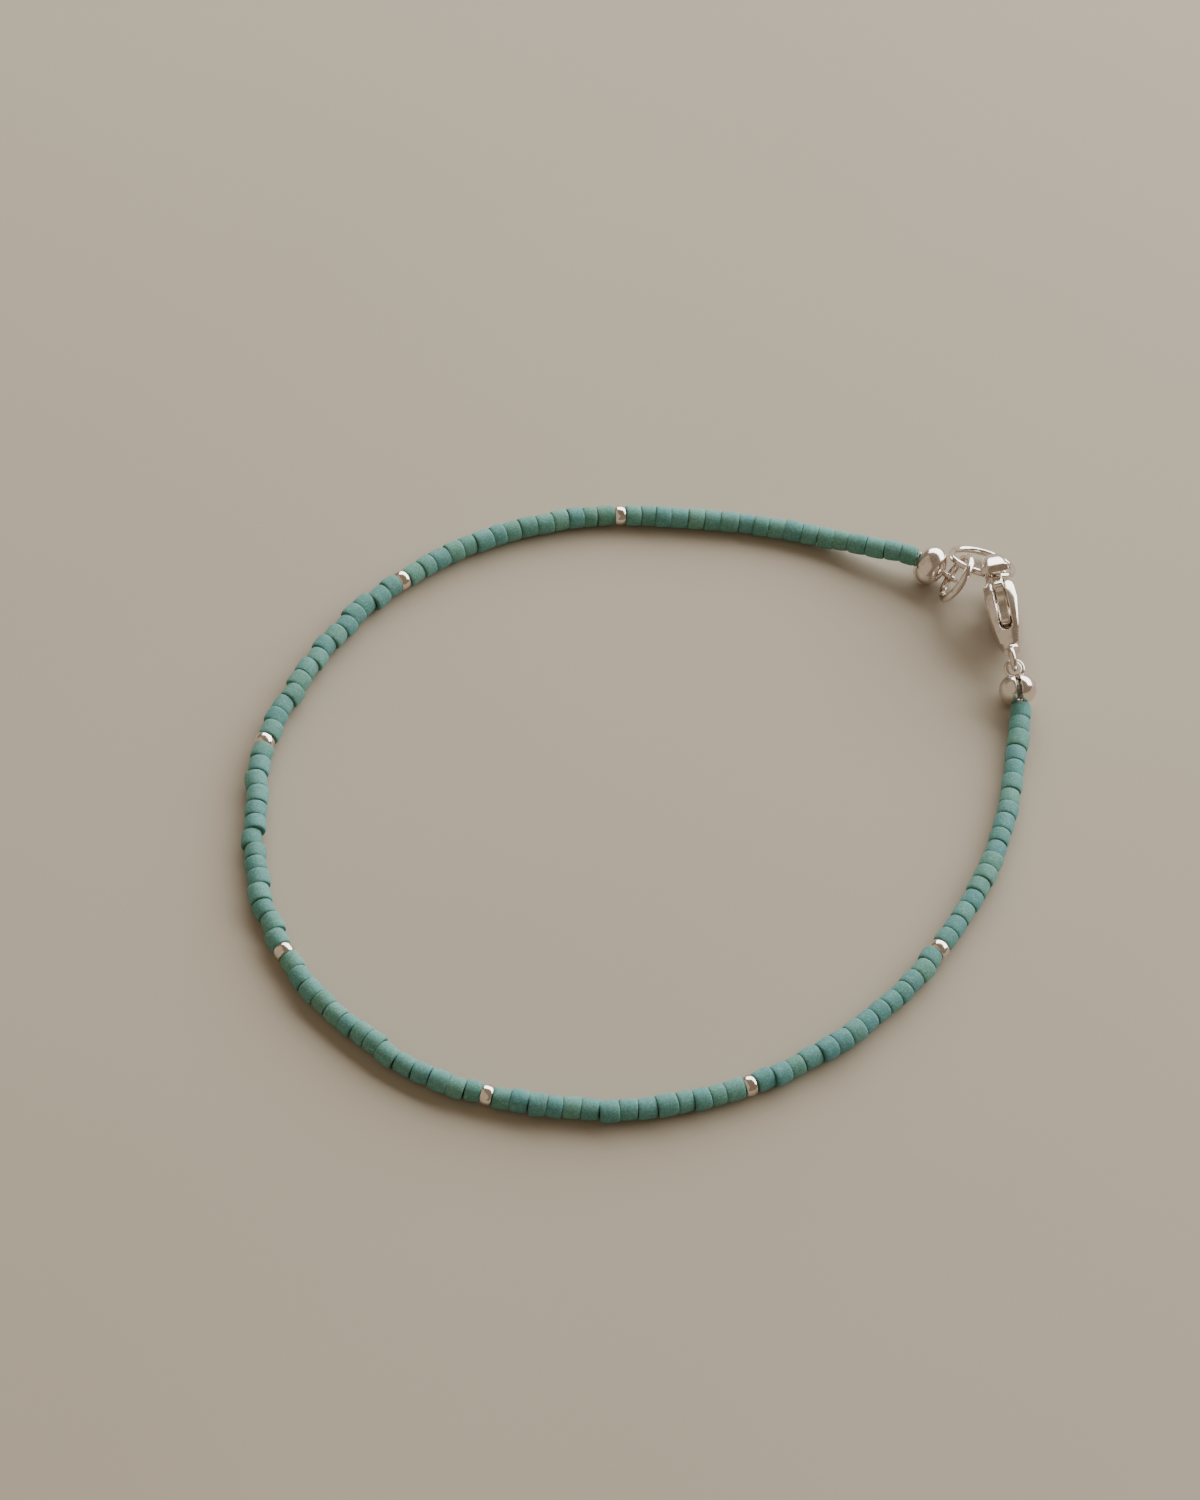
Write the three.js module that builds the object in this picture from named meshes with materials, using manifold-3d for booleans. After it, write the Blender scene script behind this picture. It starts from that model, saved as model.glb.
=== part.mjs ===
// A beaded bracelet lying flat as a closed loop: eight stretches of small glass beads with seven silver
// spacer beads between them, on one thread. The thread's knots sit in two-cup knot covers. One cover's
// loop holds a jump ring, and a second ring leads from it to a lobster clasp, whose tail ring is linked
// with the other cover's loop. Millimetres, +Z up, the origin on the table under the middle of the loop.

import * as THREE from 'three';
import { mergeVertices } from 'three/addons/utils/BufferGeometryUtils.js';
import Module from 'manifold-3d';

// Beads and thread
const BEADS_PER_STRETCH = [18, 14, 14, 14, 14, 14, 14, 18];
const BEAD_DIAMETER = 1.64;
const BORE_DIAMETER = 0.7;
const STRING_SIDES = 8;
const STEP_IN_DIAMETERS = 2.2;
const PIECE_GAP = 0.16;
const THREAD_DIAMETER = 0.36;
const KNOT_DIAMETER = 0.9;

// Silver spacer beads
const SPACER_DIAMETER = 1.56;
const SPACER_LENGTH = 0.9;
const SPACER_SIDES = 16;
const SPACER_SHOULDER_SHARE = 0.72;
const SPACER_CROWN_ANGLES = [-50, -18, 18, 50];

// Two-cup knot covers
const CUP_LENGTH = 2.4;
const CUP_WIDTH = 3.2;
const CUP_DEPTH = 1.22;
const CUP_WALL = 0.24;
const CUP_GAP = 0.46;
const CUP_SIDES = 14;
const CUP_ARC_STEPS = 4;
const HINGE_WIDTH = 1.1;
const HINGE_THICKNESS = 0.3;
const HINGE_HOLE_DIAMETER = 0.62;
const LOOP_DIAMETER = 1.64;
const LOOP_WIRE = 0.36;
const LOOP_REACH = 1.7;
const STEM = { along: 0.54, across: 0.5, from: 1.03 };
const KNOT_TO_BEADS = CUP_LENGTH / 2 + 0.26;

// Jump rings
const RING_SIDES = 16;
const WIRE_SIDES = 6;
const RING_1_DIAMETER = 4.4;
const RING_1_WIRE = 0.6;
const RING_2_DIAMETER = 5.5;
const RING_2_WIRE = 0.54;

// Lobster clasp: s runs from the tail to the hook, t runs up from the spine
const CLASP_THICKNESS = 2.56;
const CLASP_BEVEL = { inset: 0.27, depth: 0.5 };
const SLOT_WIDTH = 1.0;
const SLOT = { from: 0.95, to: 5.6, floor: 1.85, height: 6 };
const PIVOT = { s: 2.05, t: 3.3 };
const PIN_DIAMETER = 0.56;
const PIN_LENGTH = 1.7;
const LEVER_HOLE_DIAMETER = 0.74;
const LEVER_THICKNESS = 0.84;
const LEVER_BEVEL = { inset: 0.12, depth: 0.14 };
const COLLAR_DIAMETER = 1.36;
const COLLAR_LENGTH = 0.5;
const TAIL_RING_DIAMETER = 2.14;
const TAIL_RING_WIRE = 0.52;
const TAIL_RING_AT = { s: -0.98, t: 2.3 };
const SMALL_ROUND_SIDES = 12;
const EDGE_STEPS = 2;
const OUTLINE_STEPS = 2;

// Outline of the claw: along the spine and round the hook to its tip, back round the eye to the mouth,
// and over the slot to the tail
const CLAW_TAIL = { s: 0, t: 3.0 };
const CLAW_SPINE = [
  { s: 0, t: 1.7 },
  { s: 1.1, t: 0.95 },
  { s: 2.7, t: 0.3 },
  { s: 4.8, t: 0 },
  { s: 6.8, t: 0.22 },
  { s: 8.1, t: 1.1 },
  { s: 8.6, t: 2.4 },
  { s: 8.3, t: 3.65 },
  { s: 7.4, t: 4.6 },
  { s: 6.35, t: 5.0 },
];
const CLAW_EYE = [
  { s: 5.95, t: 4.4 },
  { s: 6.7, t: 3.95 },
  { s: 7.25, t: 3.3 },
  { s: 7.4, t: 2.6 },
  { s: 7.0, t: 1.65 },
  { s: 6.1, t: 1.02 },
  { s: 5.3, t: 1.15 },
  { s: 4.95, t: 1.9 },
];
const CLAW_BROW = [
  { s: 5.25, t: 3.8 },
  { s: 4.8, t: 4.4 },
  { s: 3.8, t: 4.6 },
  { s: 2.4, t: 4.4 },
  { s: 1.1, t: 3.75 },
];

// Outline of the lever: its inner edge from the pivot to the tip under the hook, and its outer edge with
// the thumb tab back to the pivot
const LEVER_INNER = [
  { s: 1.75, t: 2.78 },
  { s: 2.6, t: 2.72 },
  { s: 4.0, t: 2.98 },
  { s: 5.6, t: 3.2 },
  { s: 6.32, t: 3.4 },
];
const LEVER_TIP = { s: 6.25, t: 3.86 };
const LEVER_OUTER = [
  { s: 5.8, t: 4.15 },
  { s: 4.95, t: 4.22 },
  { s: 4.8, t: 4.6 },
  { s: 4.55, t: 4.98 },
  { s: 4.2, t: 4.92 },
  { s: 3.95, t: 4.4 },
  { s: 3.5, t: 3.98 },
  { s: 2.6, t: 3.84 },
  { s: 1.8, t: 3.76 },
  { s: 1.5, t: 3.25 },
];

// How far the claw narrows along its length, as half thicknesses
const CLASP_TAPER = [
  { s: -0.2, half: 0.66 },
  { s: 1.2, half: 0.98 },
  { s: 3.4, half: 1.28 },
  { s: 5.2, half: 1.1 },
  { s: 7.0, half: 0.68 },
  { s: 8.8, half: 0.56 },
];

// Route of the thread from the knot beside the clasp, round the loop, to the other knot.
// lift is the height of the thread above where a bead on the table holds it.
const ROUTE = [
  { x: 27.74, y: 14.12, lift: 0.765 },
  { x: 28.07, y: 12.81, lift: 0.33 },
  { x: 27.97, y: 8.0, lift: 0 },
  { x: 27.42, y: 2.15, lift: 0 },
  { x: 25.97, y: -3.5, lift: 0 },
  { x: 23.52, y: -9.2, lift: 0 },
  { x: 21.02, y: -13.5, lift: 0 },
  { x: 18.22, y: -17.15, lift: 0 },
  { x: 14.87, y: -20.25, lift: 0 },
  { x: 10.92, y: -23.3, lift: 0 },
  { x: 6.47, y: -25.45, lift: 0 },
  { x: 2.17, y: -26.95, lift: 0 },
  { x: -2.33, y: -27.42, lift: 0 },
  { x: -7.28, y: -27.41, lift: 0 },
  { x: -12.08, y: -26.4, lift: 0 },
  { x: -16.18, y: -24.45, lift: 0 },
  { x: -19.88, y: -21.9, lift: 0 },
  { x: -23.38, y: -18.5, lift: 0 },
  { x: -25.78, y: -14.4, lift: 0 },
  { x: -27.38, y: -10.1, lift: 0 },
  { x: -27.98, y: -5.6, lift: 0 },
  { x: -28.38, y: -0.65, lift: 0 },
  { x: -27.18, y: 4.2, lift: 0 },
  { x: -25.73, y: 8.5, lift: 0 },
  { x: -23.78, y: 12.6, lift: 0 },
  { x: -20.98, y: 16.4, lift: 0 },
  { x: -17.58, y: 20.0, lift: 0 },
  { x: -13.93, y: 22.65, lift: 0 },
  { x: -9.93, y: 24.8, lift: 0 },
  { x: -5.28, y: 26.35, lift: 0 },
  { x: 1.02, y: 27.25, lift: 0 },
  { x: 6.97, y: 27.5, lift: 0 },
  { x: 12.42, y: 27.0, lift: 0.14 },
  { x: 16.02, y: 26.25, lift: 0.74 },
  { x: 18.98, y: 25.64, lift: 1.09 },
  { x: 20.36, y: 25.19, lift: 0.725 },
];

// Places and directions of the fastening's pieces
const COVER_2 = { knot: ROUTE[0], axis: [-0.238, 0.921, 0.308], cups: [1, 0.3, 0.2] };
const COVER_1 = { knot: ROUTE[ROUTE.length - 1], axis: [0.922, -0.3, -0.244], cups: [0, -0.59, 0.81] };
const RING_1 = { at: [22.39, 23.55, 2.51], normal: [-0.893, 0.181, 0.411] };
const RING_2 = { at: [24.36, 25.89, 1.98], normal: [-0.124, -0.503, -0.855] };
const CLASP = { at: [27.57, 17.48, 0.2], turn: 102, lean: 16 };

// Fineness of the route's length and of joining a solid's corners
const ROUTE_DIVISIONS = 2000;
const WELD_DISTANCE = 1e-5;

const SEA_GREEN = 0x6f958b;
const SILVER = 0xd8d8d4;
const THREAD_GREY = 0xc9d2cc;

const STRING_RADIUS = BEAD_DIAMETER / 2;
const SPACER_COUNT = BEADS_PER_STRETCH.length - 1;
const BEAD_COUNT = BEADS_PER_STRETCH.reduce((sum, count) => sum + count, 0);

const wasm = await Module();
wasm.setup();

function glassMaterial() {
  return new THREE.MeshStandardMaterial({ color: SEA_GREEN, roughness: 0.75, metalness: 0 });
}

function silverMaterial() {
  return new THREE.MeshStandardMaterial({ color: SILVER, roughness: 0.18, metalness: 1 });
}

function threadMaterial() {
  return new THREE.MeshStandardMaterial({ color: THREAD_GREY, roughness: 0.8, metalness: 0 });
}

function namedMesh(name, geometry, material) {
  const mesh = new THREE.Mesh(geometry, material);
  mesh.name = name;
  return mesh;
}

// A closed geometry as a solid that can be joined and cut
function solidOf(geometry) {
  const bare = geometry.clone();
  bare.deleteAttribute('normal');
  bare.deleteAttribute('uv');
  const merged = mergeVertices(bare, WELD_DISTANCE);
  const vertProperties = new Float32Array(merged.attributes.position.array);
  const triVerts = new Uint32Array(merged.index.array);
  return new wasm.Manifold(new wasm.Mesh({ numProp: 3, vertProperties, triVerts }));
}

function geometryOf(solid) {
  const { vertProperties, triVerts } = solid.getMesh();
  const geometry = new THREE.BufferGeometry();
  geometry.setAttribute('position', new THREE.BufferAttribute(vertProperties, 3));
  geometry.setIndex(new THREE.BufferAttribute(triVerts, 1));
  geometry.computeVertexNormals();
  return geometry;
}

// A ring of round wire about the Z axis
function wireRing(diameter, wire, sides) {
  return new THREE.TorusGeometry((diameter - wire) / 2, wire / 2, WIRE_SIDES, sides);
}

// A regular polygon with two level sides, drawn round a circle of the given diameter
function roundSection(path, diameter, sides) {
  const corner = diameter / 2 / Math.cos(Math.PI / sides);
  for (let i = 0; i < sides; i += 1) {
    const angle = ((i + 0.5) * 2 * Math.PI) / sides;
    const x = corner * Math.cos(angle);
    const y = corner * Math.sin(angle);
    if (i === 0) path.moveTo(x, y);
    else path.lineTo(x, y);
  }
  path.closePath();
  return path;
}

// The whole route, never lower than a bead on the table allows
class ThreadRoute extends THREE.CatmullRomCurve3 {
  getPoint(t, target = new THREE.Vector3()) {
    const point = super.getPoint(t, target);
    point.z = Math.max(point.z, STRING_RADIUS);
    return point;
  }
}

// The route through a row of stations, each a length along it, with the section's sides kept level
class StationPath extends THREE.Curve {
  constructor(route, stations) {
    super();
    this.route = route;
    this.fractions = stations.map((station) => station / route.getLength());
  }

  fractionAt(t) {
    const place = t * (this.fractions.length - 1);
    const first = Math.min(Math.floor(place), this.fractions.length - 2);
    return THREE.MathUtils.lerp(this.fractions[first], this.fractions[first + 1], place - first);
  }

  getPointAt(t, target = new THREE.Vector3()) {
    return this.route.getPointAt(this.fractionAt(t), target);
  }

  computeFrenetFrames(segments) {
    const up = new THREE.Vector3(0, 0, 1);
    const frames = { tangents: [], normals: [], binormals: [] };
    for (let i = 0; i <= segments; i += 1) {
      const tangent = this.route.getTangentAt(this.fractionAt(i / segments));
      const normal = new THREE.Vector3().crossVectors(up, tangent).normalize();
      frames.tangents.push(tangent);
      frames.normals.push(normal);
      frames.binormals.push(new THREE.Vector3().crossVectors(tangent, normal));
    }
    return frames;
  }
}

function makeRoute() {
  const points = ROUTE.map(({ x, y, lift }) => new THREE.Vector3(x, y, STRING_RADIUS + lift));
  const route = new ThreadRoute(points, false, 'centripetal');
  route.arcLengthDivisions = ROUTE_DIVISIONS;
  return route;
}

// Where the stretches of beads begin and end along the route, in order from the first knot
function stretchSpans(route) {
  const beadRun = route.getLength() - 2 * KNOT_TO_BEADS - SPACER_COUNT * SPACER_LENGTH;
  const pitch = beadRun / BEAD_COUNT;
  let start = KNOT_TO_BEADS;
  return BEADS_PER_STRETCH.map((count) => {
    const span = { start, end: start + count * pitch };
    start = span.end + SPACER_LENGTH;
    return span;
  });
}

// Evenly spaced stations along one stretch, a small gap clear of its neighbours
function tubeStations({ start, end }) {
  const steps = Math.round((end - start) / (STEP_IN_DIAMETERS * BEAD_DIAMETER));
  const first = start + PIECE_GAP / 2;
  const last = end - PIECE_GAP / 2;
  return Array.from({ length: steps + 1 }, (_, i) => THREE.MathUtils.lerp(first, last, i / steps));
}

function tubeAlong(route, stations, shape) {
  const extrudePath = new StationPath(route, stations);
  return new THREE.ExtrudeGeometry(shape, { steps: stations.length - 1, extrudePath, bevelEnabled: false });
}

function beadString(route, span) {
  const shape = roundSection(new THREE.Shape(), BEAD_DIAMETER, STRING_SIDES);
  shape.holes.push(roundSection(new THREE.Path(), BORE_DIAMETER, STRING_SIDES));
  return tubeAlong(route, tubeStations(span), shape);
}

// The thread from knot to knot, with a round knot at each end
function threadWithKnots(route, spans) {
  const stations = [0, ...spans.flatMap(tubeStations), route.getLength()];
  const shape = roundSection(new THREE.Shape(), THREAD_DIAMETER, STRING_SIDES);
  let solid = solidOf(tubeAlong(route, stations, shape));
  for (const t of [0, 1]) {
    const knot = new THREE.SphereGeometry(KNOT_DIAMETER / 2, SMALL_ROUND_SIDES, SMALL_ROUND_SIDES / 2);
    knot.translate(...route.getPoint(t).toArray());
    solid = solid.add(solidOf(knot));
  }
  return geometryOf(solid);
}

// A drilled bead with a rounded outside, turned about its bore
function spacerBead() {
  const bore = BORE_DIAMETER / 2;
  const half = SPACER_LENGTH / 2;
  const crown = SPACER_DIAMETER / 2;
  const shoulder = crown * SPACER_SHOULDER_SHARE;
  const profile = [new THREE.Vector2(bore, -half), new THREE.Vector2(shoulder, -half)];
  for (const angle of SPACER_CROWN_ANGLES) {
    const turn = THREE.MathUtils.degToRad(angle);
    const radius = shoulder + (crown - shoulder) * Math.cos(turn);
    profile.push(new THREE.Vector2(radius, half * Math.sin(turn)));
  }
  profile.push(new THREE.Vector2(shoulder, half), new THREE.Vector2(bore, half), profile[0].clone());
  return new THREE.LatheGeometry(profile, SPACER_SIDES);
}

// One cup of a knot cover: half an oval shell, its rim in the XY plane and its pole towards +Z
function knotCup() {
  const profile = [];
  for (let i = 0; i <= CUP_ARC_STEPS; i += 1) {
    const angle = (i / CUP_ARC_STEPS) * (Math.PI / 2);
    profile.push(new THREE.Vector2((CUP_LENGTH / 2) * Math.sin(angle), CUP_DEPTH * Math.cos(angle)));
  }
  for (let i = CUP_ARC_STEPS; i >= 0; i -= 1) {
    const angle = (i / CUP_ARC_STEPS) * (Math.PI / 2);
    const radius = (CUP_LENGTH / 2 - CUP_WALL) * Math.sin(angle);
    profile.push(new THREE.Vector2(radius, (CUP_DEPTH - CUP_WALL) * Math.cos(angle)));
  }
  const cup = new THREE.LatheGeometry(profile.reverse(), CUP_SIDES);
  cup.rotateX(Math.PI / 2);
  cup.scale(1, CUP_WIDTH / CUP_LENGTH, 1);
  cup.translate(0, 0, CUP_GAP / 2);
  return solidOf(cup);
}

// A knot cover in its own frame: beads at -X, loop at +X, the cups above and below the parting gap
function knotCover() {
  const hinge = new THREE.BoxGeometry(HINGE_THICKNESS, HINGE_WIDTH, CUP_GAP + CUP_WALL * 2);
  hinge.translate(-CUP_LENGTH / 2 + HINGE_THICKNESS / 2, 0, 0);
  const hole = new THREE.CylinderGeometry(
    HINGE_HOLE_DIAMETER / 2, HINGE_HOLE_DIAMETER / 2, CUP_LENGTH, SMALL_ROUND_SIDES);
  hole.rotateZ(Math.PI / 2);
  hole.translate(-CUP_LENGTH / 2, 0, 0);
  const loop = wireRing(LOOP_DIAMETER, LOOP_WIRE, RING_SIDES);
  loop.rotateX(Math.PI / 2);
  loop.translate(LOOP_REACH, 0, 0);
  const stem = new THREE.BoxGeometry(STEM.along, STEM.across, CUP_GAP / 2 + CUP_WALL * 2);
  stem.translate(STEM.from, 0, CUP_GAP / 4 + CUP_WALL);
  const cup = knotCup();
  const cups = cup.add(cup.rotate(180, 0, 0));
  return geometryOf(cups.add(solidOf(hinge)).add(solidOf(stem)).add(solidOf(loop)).subtract(solidOf(hole)));
}

// Half thickness of the claw at a place along it
function claspHalfThickness(s) {
  const next = CLASP_TAPER.findIndex((row) => row.s > s);
  if (next === 0) return CLASP_TAPER[0].half;
  if (next < 0) return CLASP_TAPER[CLASP_TAPER.length - 1].half;
  const [a, b] = [CLASP_TAPER[next - 1], CLASP_TAPER[next]];
  return THREE.MathUtils.lerp(a.half, b.half, (s - a.s) / (b.s - a.s));
}

// An outline in s and t made into a plate with rounded edges: s along X, t up Z, centred on Y = 0
function roundedPlate(shape, thickness, bevel) {
  const plate = new THREE.ExtrudeGeometry(shape, {
    depth: thickness - 2 * bevel.depth,
    bevelEnabled: true,
    bevelThickness: bevel.depth,
    bevelSize: bevel.inset,
    bevelOffset: -bevel.inset,
    bevelSegments: EDGE_STEPS,
    curveSegments: OUTLINE_STEPS,
  });
  plate.translate(0, 0, bevel.depth - thickness / 2);
  plate.rotateX(Math.PI / 2);
  return plate;
}

function curveThrough(shape, rows) {
  shape.splineThru(rows.map(({ s, t }) => new THREE.Vector2(s, t)));
}

// Carry an outline on with a straight run to the first row and a smooth curve through the others
function runThrough(shape, [first, ...others]) {
  shape.lineTo(first.s, first.t);
  curveThrough(shape, others);
}

function clawShape() {
  const shape = new THREE.Shape();
  shape.moveTo(CLAW_TAIL.s, CLAW_TAIL.t);
  runThrough(shape, CLAW_SPINE);
  runThrough(shape, CLAW_EYE);
  runThrough(shape, [...CLAW_BROW, CLAW_TAIL]);
  return shape;
}

function leverShape() {
  const shape = new THREE.Shape();
  shape.moveTo(LEVER_INNER[0].s, LEVER_INNER[0].t);
  curveThrough(shape, LEVER_INNER.slice(1));
  shape.lineTo(LEVER_TIP.s, LEVER_TIP.t);
  runThrough(shape, LEVER_OUTER);
  shape.closePath();
  return shape;
}

function crossPin(diameter, length) {
  const pin = new THREE.CylinderGeometry(diameter / 2, diameter / 2, length, SMALL_ROUND_SIDES);
  pin.translate(PIVOT.s, 0, PIVOT.t);
  return pin;
}

function claspBody() {
  const claw = roundedPlate(clawShape(), CLASP_THICKNESS, CLASP_BEVEL);
  const places = claw.attributes.position;
  for (let i = 0; i < places.count; i += 1) {
    const narrowed = claspHalfThickness(places.getX(i)) / (CLASP_THICKNESS / 2);
    places.setY(i, places.getY(i) * narrowed);
  }
  const slot = new THREE.BoxGeometry(SLOT.to - SLOT.from, SLOT_WIDTH, SLOT.height);
  slot.translate((SLOT.from + SLOT.to) / 2, 0, SLOT.floor + SLOT.height / 2);
  const collar = new THREE.CylinderGeometry(
    COLLAR_DIAMETER / 2, COLLAR_DIAMETER / 2, COLLAR_LENGTH, SMALL_ROUND_SIDES);
  collar.rotateZ(Math.PI / 2);
  collar.translate(0, 0, TAIL_RING_AT.t);
  const tail = wireRing(TAIL_RING_DIAMETER, TAIL_RING_WIRE, RING_SIDES);
  tail.rotateX(Math.PI / 2);
  tail.translate(TAIL_RING_AT.s, 0, TAIL_RING_AT.t);
  return geometryOf(solidOf(claw)
    .subtract(solidOf(slot))
    .add(solidOf(crossPin(PIN_DIAMETER, PIN_LENGTH)))
    .add(solidOf(collar))
    .add(solidOf(tail)));
}

function claspLever() {
  const lever = solidOf(roundedPlate(leverShape(), LEVER_THICKNESS, LEVER_BEVEL));
  return geometryOf(lever.subtract(solidOf(crossPin(LEVER_HOLE_DIAMETER, PIN_LENGTH))));
}

// Turn a mesh so that its X axis lies along forward and its Z axis leans towards side
function aim(mesh, forward, side) {
  const x = new THREE.Vector3(...forward).normalize();
  const y = new THREE.Vector3(...side).cross(x).normalize();
  const z = new THREE.Vector3().crossVectors(x, y);
  mesh.quaternion.setFromRotationMatrix(new THREE.Matrix4().makeBasis(x, y, z));
}

function addStrings(group, route, spans) {
  spans.forEach((span, i) => {
    group.add(namedMesh(`bead_string_${i + 1}`, beadString(route, span), glassMaterial()));
  });
}

function addSpacers(group, route, spans) {
  const turnedAbout = new THREE.Vector3(0, 1, 0);
  spans.slice(0, SPACER_COUNT).forEach(({ end }, i) => {
    const middle = (end + SPACER_LENGTH / 2) / route.getLength();
    const spacer = namedMesh(`spacer_${i + 1}`, spacerBead(), silverMaterial());
    spacer.position.copy(route.getPointAt(middle));
    spacer.quaternion.setFromUnitVectors(turnedAbout, route.getTangentAt(middle));
    group.add(spacer);
  });
}

function addKnotCover(group, name, { knot, axis, cups }) {
  const cover = namedMesh(name, knotCover(), silverMaterial());
  cover.position.set(knot.x, knot.y, STRING_RADIUS + knot.lift);
  aim(cover, axis, cups);
  group.add(cover);
}

function addJumpRing(group, name, diameter, wire, { at, normal }) {
  const ring = namedMesh(name, wireRing(diameter, wire, RING_SIDES), silverMaterial());
  ring.position.set(...at);
  ring.quaternion.setFromUnitVectors(new THREE.Vector3(0, 0, 1), new THREE.Vector3(...normal).normalize());
  group.add(ring);
}

function addClasp(group) {
  const clasp = new THREE.Group();
  clasp.position.set(...CLASP.at);
  const [lean, turn] = [CLASP.lean, CLASP.turn].map(THREE.MathUtils.degToRad);
  clasp.rotation.set(-lean, 0, turn, 'ZYX');
  clasp.add(namedMesh('clasp_body', claspBody(), silverMaterial()));
  clasp.add(namedMesh('clasp_lever', claspLever(), silverMaterial()));
  group.add(clasp);
}

function makeBracelet() {
  const bracelet = new THREE.Group();
  const route = makeRoute();
  const spans = stretchSpans(route);
  addStrings(bracelet, route, spans);
  addSpacers(bracelet, route, spans);
  bracelet.add(namedMesh('thread', threadWithKnots(route, spans), threadMaterial()));
  addKnotCover(bracelet, 'knot_cover_1', COVER_1);
  addKnotCover(bracelet, 'knot_cover_2', COVER_2);
  addJumpRing(bracelet, 'jump_ring_1', RING_1_DIAMETER, RING_1_WIRE, RING_1);
  addJumpRing(bracelet, 'jump_ring_2', RING_2_DIAMETER, RING_2_WIRE, RING_2);
  addClasp(bracelet);
  return bracelet;
}

const bracelet = makeBracelet();

export default bracelet;
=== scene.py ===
"""A beaded bracelet lying flat as a closed loop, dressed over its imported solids.

Etched sea-green glass beads, polished silver spacer beads and a silver fastening on one twisted thread.
Lengths are written in millimetres and turned into metres when a mesh is made.
"""

import logging
import math
from abc import ABC, abstractmethod
from dataclasses import dataclass, field
from enum import Enum

import bmesh
import bpy
import numpy as np
from bmesh.types import BMesh
from bpy.types import Material, Node, NodeSocket, Object
from mathutils import Matrix, Vector

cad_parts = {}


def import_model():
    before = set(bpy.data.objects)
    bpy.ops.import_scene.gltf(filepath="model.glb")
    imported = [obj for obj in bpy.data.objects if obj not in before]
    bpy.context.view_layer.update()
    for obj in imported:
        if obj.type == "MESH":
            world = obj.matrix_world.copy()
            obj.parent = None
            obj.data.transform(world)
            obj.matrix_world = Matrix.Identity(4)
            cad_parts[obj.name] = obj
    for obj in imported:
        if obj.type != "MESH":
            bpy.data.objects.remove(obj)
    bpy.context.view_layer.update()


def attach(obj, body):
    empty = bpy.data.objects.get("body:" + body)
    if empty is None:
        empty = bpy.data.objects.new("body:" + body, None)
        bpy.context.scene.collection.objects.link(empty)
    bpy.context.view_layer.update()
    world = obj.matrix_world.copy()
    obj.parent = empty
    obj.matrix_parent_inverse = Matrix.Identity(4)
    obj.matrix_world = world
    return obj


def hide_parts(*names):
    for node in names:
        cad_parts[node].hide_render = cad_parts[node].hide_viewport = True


LOG = logging.getLogger("bracelet")
MM = 0.001

Colour = tuple[float, float, float]
Point = tuple[float, float, float]
Outline = tuple[tuple[float, float], ...]


class Body(Enum):
    """The two bodies that pieces ride on."""

    BRACELET = "bracelet"
    LEVER = "lever"


class Slot(Enum):
    """The record's material slots."""

    GLASS = "etched_glass"
    SPACER = "spacer_silver"
    FINDING = "finding_silver"
    WIRE = "wire_silver"
    THREAD = "thread"


class Lay(Enum):
    """How evenly a stretch of beads lies on its thread: the sideways play of a bead, in millimetres."""

    EVEN = 0.03
    EASY = 0.075
    UNEVEN = 0.125


class Combine(Enum):
    """How one casting is worked into another."""

    JOIN = "UNION"
    CUT = "DIFFERENCE"


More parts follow.
